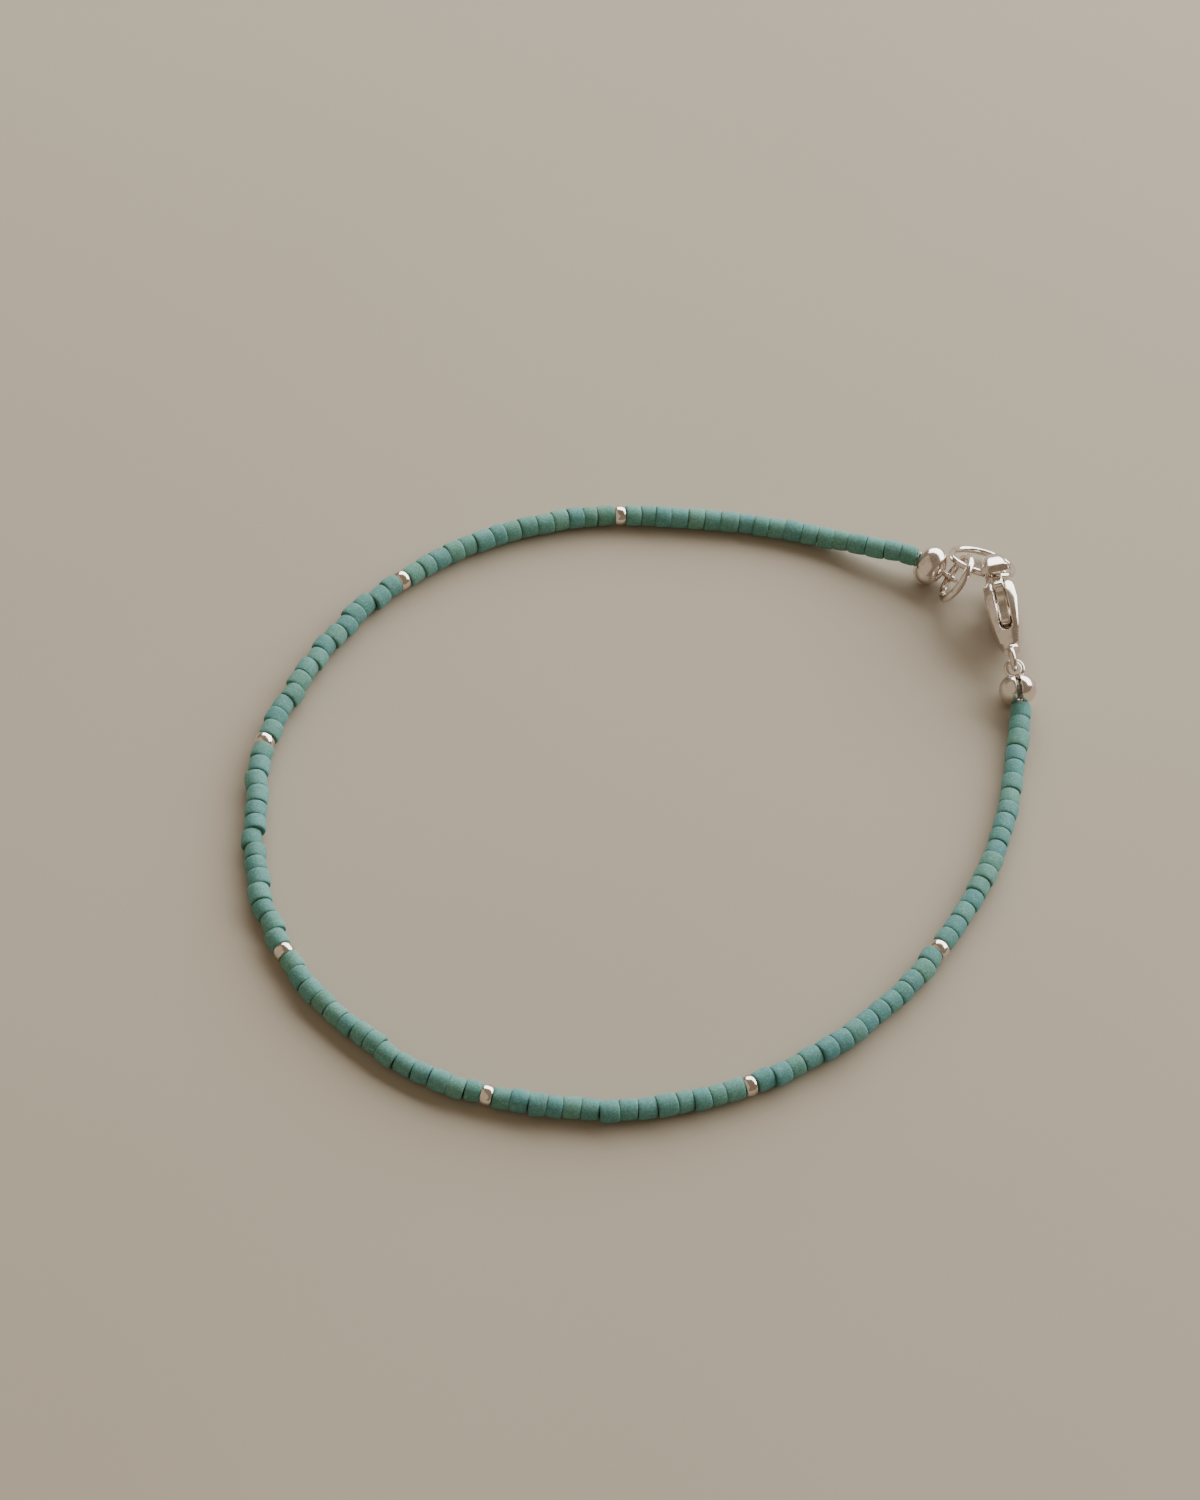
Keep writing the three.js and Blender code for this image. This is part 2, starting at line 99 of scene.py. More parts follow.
class NodeSheet:
    """A material's node tree, with short calls to add and join nodes."""

    def __init__(self, name: str) -> None:
        """Start an empty material with a principled shader.

        Args:
            name: The material's name.
        """
        self.material = bpy.data.materials.new(name)
        self.material.use_nodes = True
        self.nodes = self.material.node_tree.nodes
        self.links = self.material.node_tree.links
        self.shader = self.nodes["Principled BSDF"]

    def add(self, kind: str, **settings: object) -> Node:
        """Add a node and set its properties and unlinked inputs.

        Args:
            kind: The node's type, without its ShaderNode prefix.
            settings: Property names, or input names with spaces written as underscores.

        Returns:
            The new node.
        """
        node = self.nodes.new("ShaderNode" + kind)
        for key, value in settings.items():
            words = key.replace("_", " ")
            if words in node.inputs:
                node.inputs[words].default_value = value
            else:
                setattr(node, key, value)
        return node

    def join(self, out: NodeSocket, into: NodeSocket) -> None:
        """Link one socket to another."""
        self.links.new(out, into)

    def feed(self, name: str, value: NodeSocket) -> None:
        """Link a value to one of the shader's sockets."""
        self.links.new(value, self.shader.inputs[name])

    def fix(self, **levels: float) -> None:
        """Set values on the shader's own sockets, with spaces in their names written as underscores."""
        for key, level in levels.items():
            self.shader.inputs[key.replace("_", " ")].default_value = level

    def place(self) -> NodeSocket:
        """Give the object coordinates."""
        return self.add("TexCoord").outputs["Object"]

    def noise(self, per_mm: float, detail: float, place: NodeSocket) -> NodeSocket:
        """Add a noise with features about 1 / per_mm millimetres across.

        Args:
            per_mm: Features in a millimetre.
            detail: Octaves of finer noise.
            place: The coordinates that it reads.

        Returns:
            The noise's value, about 0 to 1.
        """
        node = self.add("TexNoise", Scale=per_mm / MM, Detail=detail, Roughness=0.55)
        self.join(place, node.inputs["Vector"])
        return node.outputs["Fac"]

    def spread(self, value: NodeSocket, low: float, high: float,
               to_low: float, to_high: float) -> NodeSocket:
        """Map a value's range onto another range, and hold it there.

        Args:
            value: The value to map.
            low: Value that gives to_low.
            high: Value that gives to_high.
            to_low: First end of the new range.
            to_high: Second end of the new range.

        Returns:
            The mapped value.
        """
        node = self.add("MapRange", clamp=True)
        for name, number in zip(("From Min", "From Max", "To Min", "To Max"), (low, high, to_low, to_high)):
            node.inputs[name].default_value = number
        self.join(value, node.inputs["Value"])
        return node.outputs["Result"]

    def mix(self, share: NodeSocket, first: object, second: object) -> NodeSocket:
        """Mix two colours.

        Args:
            share: How much of the second colour there is.
            first: A colour or a socket.
            second: A colour or a socket.

        Returns:
            The mixed colour.
        """
        node = self.add("Mix", data_type="RGBA")
        self.join(share, node.inputs[0])
        for socket, colour in ((node.inputs[6], first), (node.inputs[7], second)):
            if isinstance(colour, NodeSocket):
                self.join(colour, socket)
            else:
                socket.default_value = (*colour, 1.0)
        return node.outputs[2]

    def bump(self, height: NodeSocket, depth_mm: float, strength: float) -> None:
        """Turn a height into the shader's surface relief.

        Args:
            height: Height, about 0 to 1.
            depth_mm: Depth of a height of 1.
            strength: Share of the relief that shows.
        """
        node = self.add("Bump", Strength=strength, Distance=depth_mm * MM)
        self.join(height, node.inputs["Height"])
        self.feed("Normal", node.outputs["Normal"])


class Finish(ABC):
    """A surface finish that can be made into a material."""

    @abstractmethod
    def material(self) -> Material:
        """Make the finish's material."""


@dataclass(frozen=True)
class EtchedGlass(Finish):
    """Opaque glass with an acid-etched, matte skin. Each bead has its own tone."""

    name: str = "etched_sea_green_glass"
    pale: Colour = (0.132, 0.322, 0.253)
    deep: Colour = (0.08, 0.215, 0.157)
    cool: Colour = (0.068, 0.232, 0.256)
    bloom: Colour = (0.194, 0.372, 0.322)
    # painted shade: the colour that the bead ends darken to where neighbouring beads meet
    seam_painted_shade: Colour = (0.08, 0.195, 0.152)
    roughness: tuple[float, float] = (0.58, 0.8)
    mottle_per_mm: float = 1.1
    mottle: float = 0.4
    grain_per_mm: float = 7.5
    grain_depth: float = 0.026
    grain_relief: float = 0.6
    pits: float = 0.8
    frost: float = 0.62

    def material(self) -> Material:
        """Make the glass: a tone and a hue for each bead, a chalky mottle, painted shade on the ends where
        beads meet and an etched grain.

        Returns:
            The material.
        """
        sheet = NodeSheet(self.name)
        place = sheet.place()
        tone, hue, ends = (sheet.add("Attribute", attribute_name=name).outputs["Fac"]
                           for name in ("bead_tone", "bead_hue", "bead_end"))
        cloud = sheet.noise(self.mottle_per_mm, 4.0, place)
        grain = sheet.noise(self.grain_per_mm, 3.0, place)
        body = sheet.mix(hue, sheet.mix(tone, self.deep, self.pale), self.cool)
        chalky = sheet.mix(sheet.spread(cloud, 0.42, 0.72, 0.0, self.mottle), body, self.bloom)
        pitted = sheet.mix(sheet.spread(grain, 0.36, 0.52, self.pits, 0.0), chalky, self.deep)
        frosted = sheet.mix(sheet.spread(grain, 0.52, 0.66, 0.0, self.frost), pitted, self.bloom)
        # painted shade: each bead's ends are darkened towards the seam shade colour where beads meet
        sheet.feed("Base Color", sheet.mix(ends, frosted, self.seam_painted_shade))
        sheet.feed("Roughness", sheet.spread(grain, 0.3, 0.7, *self.roughness))
        sheet.fix(IOR=1.5, Specular_IOR_Level=0.2, Sheen_Weight=0.05, Sheen_Roughness=0.5)
        sheet.bump(grain, self.grain_depth, self.grain_relief)
        return sheet.material


@dataclass(frozen=True)
class PolishedSilver(Finish):
    """Bright silver with fine hairlines, small dents and a breath of tarnish."""

    name: str
    bright: Colour = (0.78, 0.71, 0.645)
    dull: Colour = (0.5, 0.395, 0.32)
    roughness: tuple[float, float] = (0.12, 0.24)
    clouds_per_mm: float = 1.4
    tarnish: float = 0.6
    hairlines_per_mm: float = 6.0
    hairline_turn: Point = (0.3, 0.5, 0.9)
    hairline_stretch: Point = (1.0, 9.0, 3.0)
    wave_depth: float = 0.03
    wave_relief: float = 0.16

    def material(self) -> Material:
        """Make the silver: clouds of tarnish, stretched hairlines in the gloss and a faint waviness.

        Returns:
            The material.
        """
        sheet = NodeSheet(self.name)
        place = sheet.place()
        cloud = sheet.noise(self.clouds_per_mm, 3.0, place)
        stretch = sheet.add("Mapping", Rotation=self.hairline_turn, Scale=self.hairline_stretch)
        sheet.join(place, stretch.inputs["Vector"])
        hairlines = sheet.noise(self.hairlines_per_mm, 4.0, stretch.outputs["Vector"])
        tarnished = sheet.spread(cloud, 0.46, 0.74, 0.0, self.tarnish)
        sheet.feed("Base Color", sheet.mix(tarnished, self.bright, self.dull))
        sheet.feed("Roughness", sheet.spread(hairlines, 0.38, 0.72, *self.roughness))
        sheet.fix(Metallic=1.0)
        sheet.bump(cloud, self.wave_depth, self.wave_relief)
        return sheet.material


@dataclass(frozen=True)
class TwistedYarn(Finish):
    """Pale beading thread with fine fibres."""

    name: str = "pale_beading_thread"
    pale: Colour = (0.62, 0.66, 0.62)
    shade: Colour = (0.34, 0.39, 0.36)
    roughness: tuple[float, float] = (0.62, 0.85)
    fibres_per_mm: float = 16.0
    fibre_depth: float = 0.03
    fibre_relief: float = 0.5

    def material(self) -> Material:
        """Make the thread: fine fibres in soft light and dark.

        Returns:
            The material.
        """
        sheet = NodeSheet(self.name)
        fibres = sheet.noise(self.fibres_per_mm, 4.0, sheet.place())
        light = sheet.spread(fibres, 0.35, 0.7, 0.0, 1.0)
        sheet.feed("Base Color", sheet.mix(light, self.shade, self.pale))
        sheet.feed("Roughness", sheet.spread(fibres, 0.3, 0.7, *self.roughness))
        sheet.bump(fibres, self.fibre_depth, self.fibre_relief)
        return sheet.material


@dataclass(frozen=True)
class PaleFloor(Finish):
    """A plain pale studio floor."""

    name: str = "pale_studio_floor"
    pale: Colour = (0.41, 0.357, 0.28)
    shade: Colour = (0.385, 0.334, 0.26)
    clouds_per_mm: float = 0.02

    def material(self) -> Material:
        """Make the floor: one pale colour with a barely seen unevenness.

        Returns:
            The material.
        """
        sheet = NodeSheet(self.name)
        cloud = sheet.noise(self.clouds_per_mm, 2.0, sheet.place())
        sheet.feed("Base Color", sheet.mix(cloud, self.pale, self.shade))
        sheet.fix(Roughness=0.9, Specular_IOR_Level=0.15)
        return sheet.material


@dataclass
class MeshParts:
    """Vertices, faces and named vertex values of one piece, gathered before its mesh is made."""

    points: list[np.ndarray] = field(default_factory=list)
    faces: list[np.ndarray] = field(default_factory=list)
    values: dict[str, list[np.ndarray]] = field(default_factory=dict)
    count: int = 0

    def grid(self, rows: np.ndarray, closed_rows: bool, closed_columns: bool,
             **values: np.ndarray | float) -> None:
        """Add a sheet of quads through a grid of points.

        Args:
            rows: Points as rows by columns by 3, in millimetres. Seen with rows upwards and columns to the
                right, the sheet's outside faces the viewer.
            closed_rows: Whether the last row joins the first.
            closed_columns: Whether the last column joins the first.
            values: Named values: one for all points, for each column or for each point.
        """
        height, width = rows.shape[:2]
        ups = np.arange(height if closed_rows else height - 1)
        overs = np.arange(width if closed_columns else width - 1)
        up, over = np.meshgrid(ups, overs, indexing="ij")
        next_up, next_over = (up + 1) % height, (over + 1) % width
        quads = np.stack([up * width + over, up * width + next_over,
                          next_up * width + next_over, next_up * width + over], axis=-1)
        self.faces.append(quads.reshape(-1, 4) + self.count)
        self.points.append(rows.reshape(-1, 3))
        for name, numbers in values.items():
            self.values.setdefault(name, []).append(np.broadcast_to(numbers, (height, width)).reshape(-1))
        self.count += height * width

    def moved(self, place: Matrix) -> "MeshParts":
        """Give a copy of the parts at another place.

        Args:
            place: The move, in millimetres.

        Returns:
            The moved copy.
        """
        turn = np.array(place.to_3x3())
        shift = np.array(place.translation)
        return MeshParts([points @ turn.T + shift for points in self.points], list(self.faces),
                         dict(self.values), self.count)

    def object(self, name: str, material: Material) -> Object:
        """Make a smooth-shaded object in the row frame.

        Args:
            name: The object's name.
            material: Its material.

        Returns:
            The linked object.
        """
        mesh = bpy.data.meshes.new(name)
        points = np.concatenate(self.points) * MM
        mesh.from_pydata(points.tolist(), [], np.concatenate(self.faces).tolist())
        mesh.polygons.foreach_set("use_smooth", np.ones(len(mesh.polygons), dtype=bool))
        for key, numbers in self.values.items():
            attribute = mesh.attributes.new(key, "FLOAT", "POINT")
            attribute.data.foreach_set("value", np.concatenate(numbers).astype(np.float32))
        mesh.materials.append(material)
        mesh.update()
        piece = bpy.data.objects.new(name, mesh)
        bpy.context.scene.collection.objects.link(piece)
        return piece


def seat(piece: Object, node: str, body: Body = Body.BRACELET) -> None:
    """Let a piece stand for a solid and ride on its body.

    Args:
        piece: The piece.
        node: The solid that it stands for.
        body: The body that carries it.
    """
    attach(piece, body.value)
    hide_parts(node)
    LOG.info("%s: %d faces", piece.name, len(piece.data.polygons))


def aimed(at: Point, forward: Point,
          side: Point) -> Matrix:
    """Give the place of a piece whose X axis lies along forward and whose Z axis leans towards side.

    Args:
        at: The piece's own origin, in millimetres.
        forward: Direction of its X axis.
        side: Direction that its Z axis leans towards.

    Returns:
        The piece's matrix.
    """
    x = Vector(forward).normalized()
    y = Vector(side).cross(x).normalized()
    z = x.cross(y)
    return Matrix.Translation(at) @ Matrix((x, y, z)).transposed().to_4x4()


def full_turn(count: int) -> np.ndarray:
    """Give evenly spaced angles round a full turn."""
    return np.linspace(0.0, 2.0 * math.pi, count, endpoint=False)


def smooth_run(start: np.ndarray, leave: np.ndarray, end: np.ndarray, arrive: np.ndarray,
               steps: int) -> np.ndarray:
    """Sample a smooth run between two points.

    Args:
        start: The first point.
        leave: Direction and speed at the first point.
        end: The last point.
        arrive: Direction and speed at the last point.
        steps: Points to sample.

    Returns:
        Points from start up to, and without, end.
    """
    t = np.linspace(0.0, 1.0, steps, endpoint=False)[:, None]
    return ((2 * t**3 - 3 * t**2 + 1) * start + (t**3 - 2 * t**2 + t) * leave
            + (3 * t**2 - 2 * t**3) * end + (t**3 - t**2) * arrive)


def turned(profile: np.ndarray, sides: int) -> np.ndarray:
    """Turn a profile about the X axis.

    Args:
        profile: Points as place along X and radius.
        sides: Points round the axis.

    Returns:
        A grid of points, rows round the axis and columns along the profile.
    """
    angle = full_turn(sides)[:, None]
    along, radius = profile.T
    return np.stack([along + 0.0 * angle, radius * np.cos(angle), radius * np.sin(angle)], axis=-1)


def wire_ring(diameter: float, wire: float, sides: int, wire_sides: int) -> np.ndarray:
    """Make the grid of a closed ring of round wire about the Z axis.

    Args:
        diameter: Outside diameter.
        wire: Diameter of the wire.
        sides: Points round the ring.
        wire_sides: Points round the wire.

    Returns:
        A grid of points, rows round the wire and columns round the ring.
    """
    around = full_turn(sides)
    about = full_turn(wire_sides)[:, None]
    reach = (diameter - wire) / 2.0 + wire / 2.0 * np.cos(about)
    height = wire / 2.0 * np.sin(about) + 0.0 * around
    return np.stack([reach * np.cos(around), reach * np.sin(around), height], axis=-1)


@dataclass
class ThreadRoute:
    """The way of the thread from the knot beside the clasp, round the loop, to the other knot."""

    bead_diameter: float = 1.64
    knot_to_beads: float = 1.46
    spacer_length: float = 0.9
    end_slack: float = 0.2
    beads: tuple[int, ...] = (18, 14, 14, 14, 14, 14, 14, 18)
    steps: int = 64
    sight: float = 0.15
    # x, y and lift above where a bead on the table holds the thread
    bends: tuple[Point, ...] = (
        (27.74, 14.12, 0.765), (28.07, 12.81, 0.33), (27.97, 8.0, 0.0), (27.42, 2.15, 0.0),
        (25.97, -3.5, 0.0), (23.52, -9.2, 0.0), (21.02, -13.5, 0.0), (18.22, -17.15, 0.0),
        (14.87, -20.25, 0.0), (10.92, -23.3, 0.0), (6.47, -25.45, 0.0), (2.17, -26.95, 0.0),
        (-2.33, -27.42, 0.0), (-7.28, -27.41, 0.0), (-12.08, -26.4, 0.0), (-16.18, -24.45, 0.0),
        (-19.88, -21.9, 0.0), (-23.38, -18.5, 0.0), (-25.78, -14.4, 0.0), (-27.38, -10.1, 0.0),
        (-27.98, -5.6, 0.0), (-28.38, -0.65, 0.0), (-27.18, 4.2, 0.0), (-25.73, 8.5, 0.0),
        (-23.78, 12.6, 0.0), (-20.98, 16.4, 0.0), (-17.58, 20.0, 0.0), (-13.93, 22.65, 0.0),
        (-9.93, 24.8, 0.0), (-5.28, 26.35, 0.0), (1.02, 27.25, 0.0), (6.97, 27.5, 0.0),
        (12.42, 27.0, 0.14), (16.02, 26.25, 0.74), (18.98, 25.64, 1.09), (20.36, 25.19, 0.725),
    )

    def __post_init__(self) -> None:
        """Work out the smooth line and the length along it."""
        points = np.array(self.bends) + (0.0, 0.0, self.bead_diameter / 2.0)
        ends = np.vstack([2.0 * points[0] - points[1], points, 2.0 * points[-1] - points[-2]])
        runs = [self.run(*ends[i:i + 4]) for i in range(len(points) - 1)]
        line = np.vstack([*runs, points[-1:]])
        line[:, 2] = np.maximum(line[:, 2], self.bead_diameter / 2.0)
        self.line = line
        self.lengths = np.concatenate([[0.0], np.cumsum(np.linalg.norm(np.diff(line, axis=0), axis=1))])
        self.length = float(self.lengths[-1])

    def run(self, before: np.ndarray, start: np.ndarray, end: np.ndarray, after: np.ndarray) -> np.ndarray:
        """Sample the smooth line between two bends, with knots spaced by the root of their distance.

        Args:
            before: The bend before the run.
            start: The run's first bend.
            end: The run's last bend.
            after: The bend after the run.

        Returns:
            Points from start up to, and without, end.
        """
        first, middle, last = (math.sqrt(np.linalg.norm(b - a))
                               for a, b in ((before, start), (start, end), (end, after)))
        leave = (start - before) / first - (end - before) / (first + middle) + (end - start) / middle
        arrive = (end - start) / middle - (after - start) / (middle + last) + (after - end) / last
        return smooth_run(start, leave * middle, end, arrive * middle, self.steps)

    def at(self, length: np.ndarray) -> np.ndarray:
        """Give the points at lengths along the route."""
        return np.stack([np.interp(length, self.lengths, self.line[:, i]) for i in range(3)], axis=-1)

    def frames(self, length: np.ndarray) -> np.ndarray:
        """Give level frames at lengths along the route.

        Args:
            length: Lengths along the route.

        Returns:
            One 3 by 3 array for each length, with the rows forward, left and up.
        """
        forward = self.at(length + self.sight) - self.at(length - self.sight)
        forward /= np.linalg.norm(forward, axis=-1, keepdims=True)
        left = np.cross((0.0, 0.0, 1.0), forward)
        left /= np.linalg.norm(left, axis=-1, keepdims=True)
        return np.stack([forward, left, np.cross(forward, left)], axis=-2)

    def spans(self) -> list[tuple[float, float]]:
        """Give where the stretches of beads begin and end, in order from the first knot.

        The end beads are pushed up against the knot covers.

        Returns:
            A start and an end length for each stretch.
        """
        bead_run = self.length - 2.0 * self.knot_to_beads - (len(self.beads) - 1) * self.spacer_length
        pitch = bead_run / sum(self.beads)
        found = []
        start = self.knot_to_beads
        for count in self.beads:
            found.append((start, start + count * pitch))
            start = found[-1][1] + self.spacer_length
        found[0] = (found[0][0] - self.end_slack, found[0][1])
        found[-1] = (found[-1][0], found[-1][1] + self.end_slack)
        return found


@dataclass
class BeadStretch:
    """One stretch of separate etched glass beads between two spacers.

    A spread is the share by which chance changes a bead, and tilts are in degrees.
    """

    number: int
    count: int
    span: tuple[float, float]
    lay: Lay
    coolness: float
    diameter: float = 1.64
    bore: float = 0.7
    bore_flare: float = 1.12
    clearance: float = 0.01
    undersize: float = 0.02
    length_spread: float = 0.085
    diameter_spread: float = 0.034
    cut_spread: float = 0.05
    taper_spread: float = 0.02
    least_tilt: float = 1.0
    tilt_in_play: float = 27.0
    change_of_side: float = 0.42
    side_play: float = 0.8
    loose_play: float = 0.4
    largest_drop: float = 0.12
    tone: float = 0.55
    tone_spread: float = 0.3
    tone_by_size: float = 0.1
    hue_spread: float = 0.28
    shoulder: float = 2.7
    end_share: float = 0.83
    # where the painted shade at a bead's ends begins, and how dark it gets
    seam_shade_from: float = 0.88
    seam_shade: float = 0.25
    sides: int = 28
    profile_steps: int = 15
    seed: int = 410

    def profile(self) -> np.ndarray:
        """Give a bead's outline, turned about its bore, for a half length and a radius of 1.

        Returns:
            Rows of place along the bore, radius, and how much painted shade the row gets in the seam
            between beads.
        """
        angle = np.linspace(-0.5 * math.pi, 0.5 * math.pi, self.profile_steps)
        soft = 2.0 / self.shoulder
        along = np.sign(np.sin(angle)) * np.abs(np.sin(angle)) ** soft
        radius = self.end_share + (1.0 - self.end_share) * np.abs(np.cos(angle)) ** soft
        # painted shade: rises towards the bead's ends, where neighbouring beads shade each other
        seam_painted_shade = np.clip((np.abs(along) - self.seam_shade_from) / (1.0 - self.seam_shade_from), 0.0, 1.0) ** 1.5
        outside = np.stack([along, radius, self.seam_shade * seam_painted_shade], axis=-1)
        bore = self.bore / self.diameter
        end = np.array([[0.9, bore, 1.0], [1.0, self.bore_flare * bore, 1.0]])
        return np.vstack([end * (-1.0, 1.0, 1.0), outside, end[::-1]])

    def build(self, route: ThreadRoute, material: Material) -> Object:
        """Thread the beads on the route and join them into one piece.

        Args:
            route: The thread's way.
            material: The glass.

        Returns:
            The piece.
        """
        chance = np.random.default_rng(self.seed + self.number)
        shares = 1.0 + self.length_spread * np.clip(chance.standard_normal(self.count), -1.6, 1.6)
        lengths = shares / shares.sum() * (self.span[1] - self.span[0])
        middles = self.span[0] + np.cumsum(lengths) - lengths / 2.0
        parts = MeshParts()
        side = 1.0
        for place, frame, room in zip(route.at(middles), route.frames(middles), lengths):
            side = -side if chance.random() < self.change_of_side else side
            shifted = place + frame[1] * self.side_play * side * self.lay.value
            self.add_bead(parts, chance, shifted, frame, room)
        return parts.object(f"beads_{self.number}", material)

    def add_bead(self, parts: MeshParts, chance: np.random.Generator, place: np.ndarray,
                 frame: np.ndarray, room: float) -> None:
        """Add one bead with its own size, play, tilt and cut.

        Args:
            parts: The stretch's mesh.
            chance: The stretch's seeded source of chance.
            place: The bead's place on the thread.
            frame: Its forward, left and up directions.
            room: The length that it has on the thread.
        """
        size, cut, taper, turn, dip, shift, tone, hue = np.clip(chance.standard_normal(8), -1.7, 1.7)
        radius = self.diameter / 2.0 * (1.0 - self.undersize + self.diameter_spread * size)
        half = (room - self.clearance) / 2.0
        outline = self.profile()
        # the third column is the painted shade at the bead's ends
        along, _, seam_painted_shade = outline.T
        grid = turned(outline[:, :2] * (half, radius), self.sides)
        grid[..., 0] += self.cut_spread * half * cut * (grid[..., 1] / radius) * along**2
        grid[..., 1:] *= (1.0 + self.taper_spread * taper * along)[:, None]
        swing = math.radians(self.least_tilt + self.tilt_in_play * self.lay.value)
        tilt = Matrix.Rotation(swing * turn, 3, "Z") @ Matrix.Rotation(0.5 * swing * dip, 3, "Y")
        centre = place + frame[1] * self.loose_play * self.lay.value * shift
        world = grid @ np.array(tilt).T @ frame + centre
        ground = max(place[2] - self.diameter / 2.0, 0.0)
        world[..., 2] -= min(world[..., 2].min() - ground, self.largest_drop)
        paleness = np.clip(self.tone + self.tone_spread * tone + self.tone_by_size * size, 0.0, 1.0)
        coolness = np.clip(self.coolness + self.hue_spread * hue, 0.0, 1.0)
        parts.grid(world, True, False, bead_tone=paleness, bead_hue=coolness, bead_end=seam_painted_shade)


@dataclass
class SpacerBead:
    """A rounded silver bead between two stretches."""

    number: int
    middle: float
    diameter: float = 1.56
    length: float = 0.9
    bore: float = 0.7
    lip: float = 0.04
    shoulder_share: float = 0.7
    roundness: float = 0.85
    sides: int = 48
    profile_steps: int = 20

    def build(self, route: ThreadRoute, material: Material) -> Object:
        """Turn the bead about its bore and put it on the route.

        Args:
            route: The thread's way.
            material: The silver.

        Returns:
            The piece.
        """
        angle = np.linspace(-0.5 * math.pi, 0.5 * math.pi, self.profile_steps)
        crown, bore, half = self.diameter / 2.0, self.bore / 2.0, self.length / 2.0
        shoulder = crown * self.shoulder_share
        along = half * np.sign(np.sin(angle)) * np.abs(np.sin(angle)) ** self.roundness
        radius = shoulder + (crown - shoulder) * np.cos(angle) ** self.roundness
        end = np.array([[0.55 * half, bore], [0.96 * half, bore], [half, bore + self.lip]])
        outline = np.vstack([end * (-1.0, 1.0), np.stack([along, radius], axis=-1), end[::-1]])
        middle = np.array([self.middle])
        parts = MeshParts()
        parts.grid(turned(outline, self.sides) @ route.frames(middle)[0] + route.at(middle)[0], True, True)
        return parts.object(f"silver_spacer_{self.number}", material)


@dataclass
class TwistedThread:
    """The thread of three twisted plies, with a knot at each end."""

    diameter: float = 0.36
    plies: int = 3
    ply_share: float = 0.26
    ply_sides: int = 6
    twist: float = 1.1
    step: float = 0.16
    knot: float = 0.828
    knot_thread: float = 0.324
    knot_turns: tuple[tuple[float, str], ...] = ((0.5, "X"), (1.9, "Y"), (2.4, "X"))

    def build(self, route: ThreadRoute, material: Material) -> Object:
        """Twist the plies along the whole route and tie the knots.

        Args:
            route: The thread's way.
            material: The yarn.

        Returns:
            The piece.
        """
        along = np.arange(0.0, route.length, self.step)
        frames, middle = route.frames(along), route.at(along)
        ply = self.diameter * self.ply_share
        parts = MeshParts()
        about = full_turn(self.ply_sides)
        for number in range(self.plies):
            phase = 2.0 * math.pi * (along / self.twist + number / self.plies)
            heart = middle + (self.diameter / 2.0 - ply) * (
                np.cos(phase)[:, None] * frames[:, 1] + np.sin(phase)[:, None] * frames[:, 2])
            round_ply = ply * (np.cos(about)[:, None, None] * frames[None, :, 1]
                               + np.sin(about)[:, None, None] * frames[None, :, 2])
            parts.grid(heart[None] + round_ply, True, False)
        for end in (0.0, route.length):
            self.add_knot(parts, route.at(np.array([end]))[0])
        return parts.object("twisted_thread", material)

    def add_knot(self, parts: MeshParts, place: np.ndarray) -> None:
        """Add a knot: short turns of thread wound over each other.

        Args:
            parts: The thread's mesh.
            place: The knot's middle.
        """
        ring = wire_ring(self.knot, self.knot_thread, 24, 10)
        for angle, axis in self.knot_turns:
            parts.grid(ring @ np.array(Matrix.Rotation(angle, 3, axis)).T + place, True, True)


